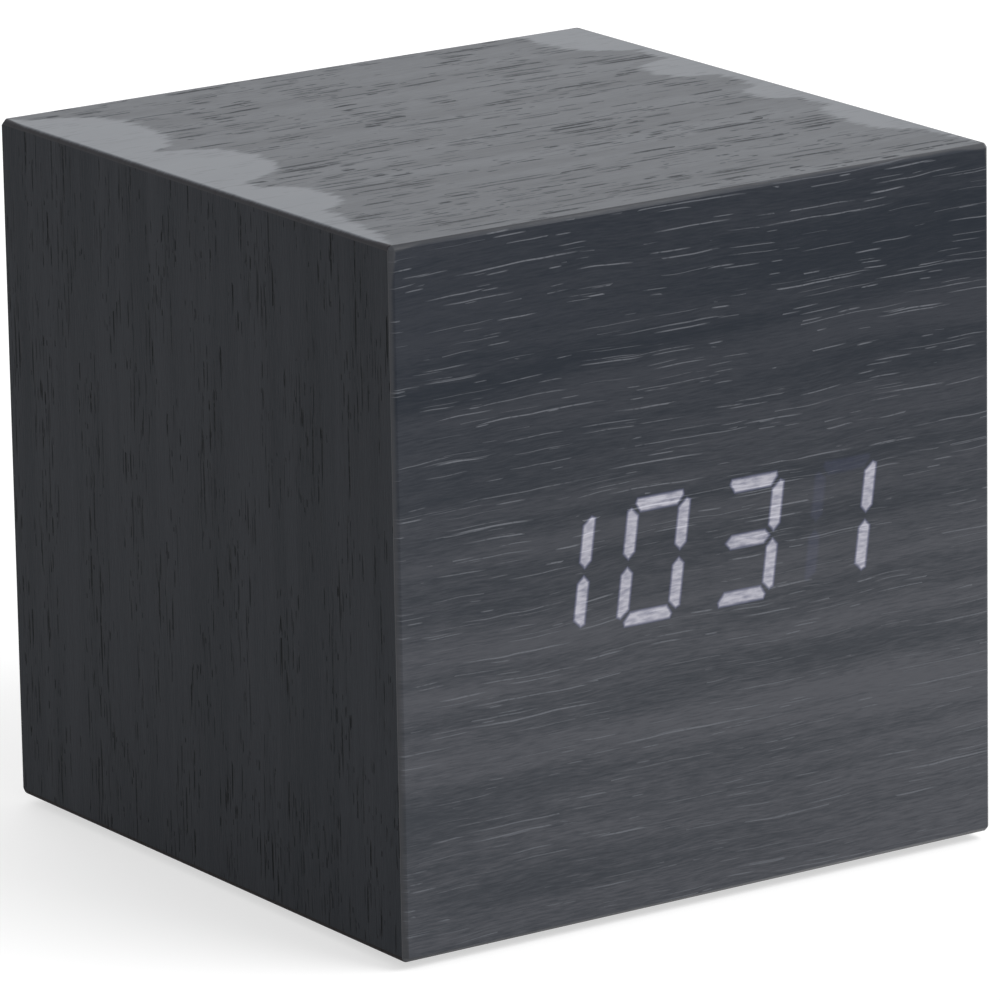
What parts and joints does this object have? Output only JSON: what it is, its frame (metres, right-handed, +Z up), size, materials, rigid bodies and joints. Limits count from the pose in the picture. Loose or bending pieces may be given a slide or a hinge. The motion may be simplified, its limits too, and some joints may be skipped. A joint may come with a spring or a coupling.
{
  "type": "cube alarm clock",
  "caption": "Cube-shaped desk alarm clock in black-stained wood veneer, its segment digits shining through the front sheet, with rear push buttons, power jack and battery door below.",
  "frame": {"origin": "on the table under the centre of the case, level with the undersides of the feet", "axes": "+X to the right as seen by someone reading the display, +Y from the front to the back, +Z up"},
  "size_m": [0.08, 0.08, 0.081],
  "materials": {
    "front_veneer": "black-stained open-pored veneer, satin, lit digits shining through",
    "top_veneer": "black-stained open-pored veneer, satin",
    "side_veneer": "black-stained open-pored veneer, satin",
    "back_veneer": "black-stained open-pored veneer, satin",
    "core_board": "medium-density fibreboard, edges stained black",
    "block_wood": "raw softwood",
    "black_steel": "black-oxide steel",
    "foot_rubber": "matt black foam rubber",
    "display_black": "matt black moulding",
    "segment_lit": "white diffusing resin, lit",
    "segment_dark": "white diffusing resin, unlit",
    "tinned_metal": "tin-plated strip",
    "circuit_board": "green solder mask on glass-epoxy",
    "white_plastic": "natural nylon",
    "zinc_steel": "zinc-plated steel",
    "chip_black": "moulding compound",
    "part_black": "matt black moulding",
    "can_metal": "plain can",
    "capacitor_blue": "shrink sleeve",
    "thermistor_brown": "dipped epoxy bead",
    "ribbon_grey": "flexible vinyl",
    "lead_black": "flexible vinyl",
    "lead_red": "flexible vinyl",
    "bezel_black": "finely textured moulding",
    "button_grey": "finely textured moulding",
    "plunger_white": "nylon",
    "jack_pin": "nickel-plated brass",
    "tray_black": "finely textured moulding",
    "door_black": "finely textured moulding",
    "spring_steel": "nickel-plated spring wire",
    "cell_green": "printed jacket, plain"
  },
  "bodies": {
    "case": {"front_veneer": "front_veneer", "top_veneer": "top_veneer", "left_veneer": "side_veneer", "right_veneer": "side_veneer", "bottom_veneer": "side_veneer", "back_veneer": "back_veneer", "front_panel": "core_board", "top_panel": "core_board", "left_panel": "core_board", "right_panel": "core_board", "bottom_panel": "core_board", "back_panel": "core_board", "corner_blocks": "block_wood", "back_screws": "black_steel", "tray_screws": "black_steel", "feet": "foot_rubber", "display_housing": "display_black", "lit_segments": "segment_lit", "dark_segments": "segment_dark", "display_pins": "tinned_metal", "contact_plates": "tinned_metal", "main_board": "circuit_board", "control_board": "circuit_board", "board_spacers": "white_plastic", "battery_connector": "white_plastic", "main_ribbon_connector": "white_plastic", "rear_ribbon_connector": "white_plastic", "board_screws": "zinc_steel", "control_screws": "zinc_steel", "controller_chip": "chip_black", "segment_resistors": "chip_black", "buzzer": "part_black", "switch_bodies": "part_black", "power_jack": "part_black", "microphone": "can_metal", "clock_crystal": "can_metal", "capacitors": "capacitor_blue", "thermistor": "thermistor_brown", "ribbon_cable": "ribbon_grey", "battery_lead_negative": "lead_black", "battery_lead_positive": "lead_red", "control_bezel": "bezel_black", "power_jack_pin": "jack_pin", "battery_tray": "tray_black", "contact_springs": "spring_steel", "cell_front": "cell_green", "cell_middle": "cell_green", "cell_rear": "cell_green"},
    "set_button": {"set_button": "button_grey", "set_plunger": "plunger_white"},
    "up_button": {"up_button": "button_grey", "up_plunger": "plunger_white"},
    "down_button": {"down_button": "button_grey", "down_plunger": "plunger_white"},
    "battery_door": {"battery_door": "door_black"}
  },
  "joints": [
    {"name": "set_button_press", "type": "slide", "parent": "case", "child": "set_button", "axis": [0, -1, 0], "range_m": [0, 0.0004], "stiffness_N_per_m": 2500},
    {"name": "up_button_press", "type": "slide", "parent": "case", "child": "up_button", "axis": [0, -1, 0], "range_m": [0, 0.0004], "stiffness_N_per_m": 2500},
    {"name": "down_button_press", "type": "slide", "parent": "case", "child": "down_button", "axis": [0, -1, 0], "range_m": [0, 0.0004], "stiffness_N_per_m": 2500},
    {"name": "battery_door_hinge", "type": "hinge", "parent": "case", "child": "battery_door", "pos_m": [0, 0.01715, 0.0024], "axis": [1, 0, 0], "range_deg": [0, 90]}
  ]
}
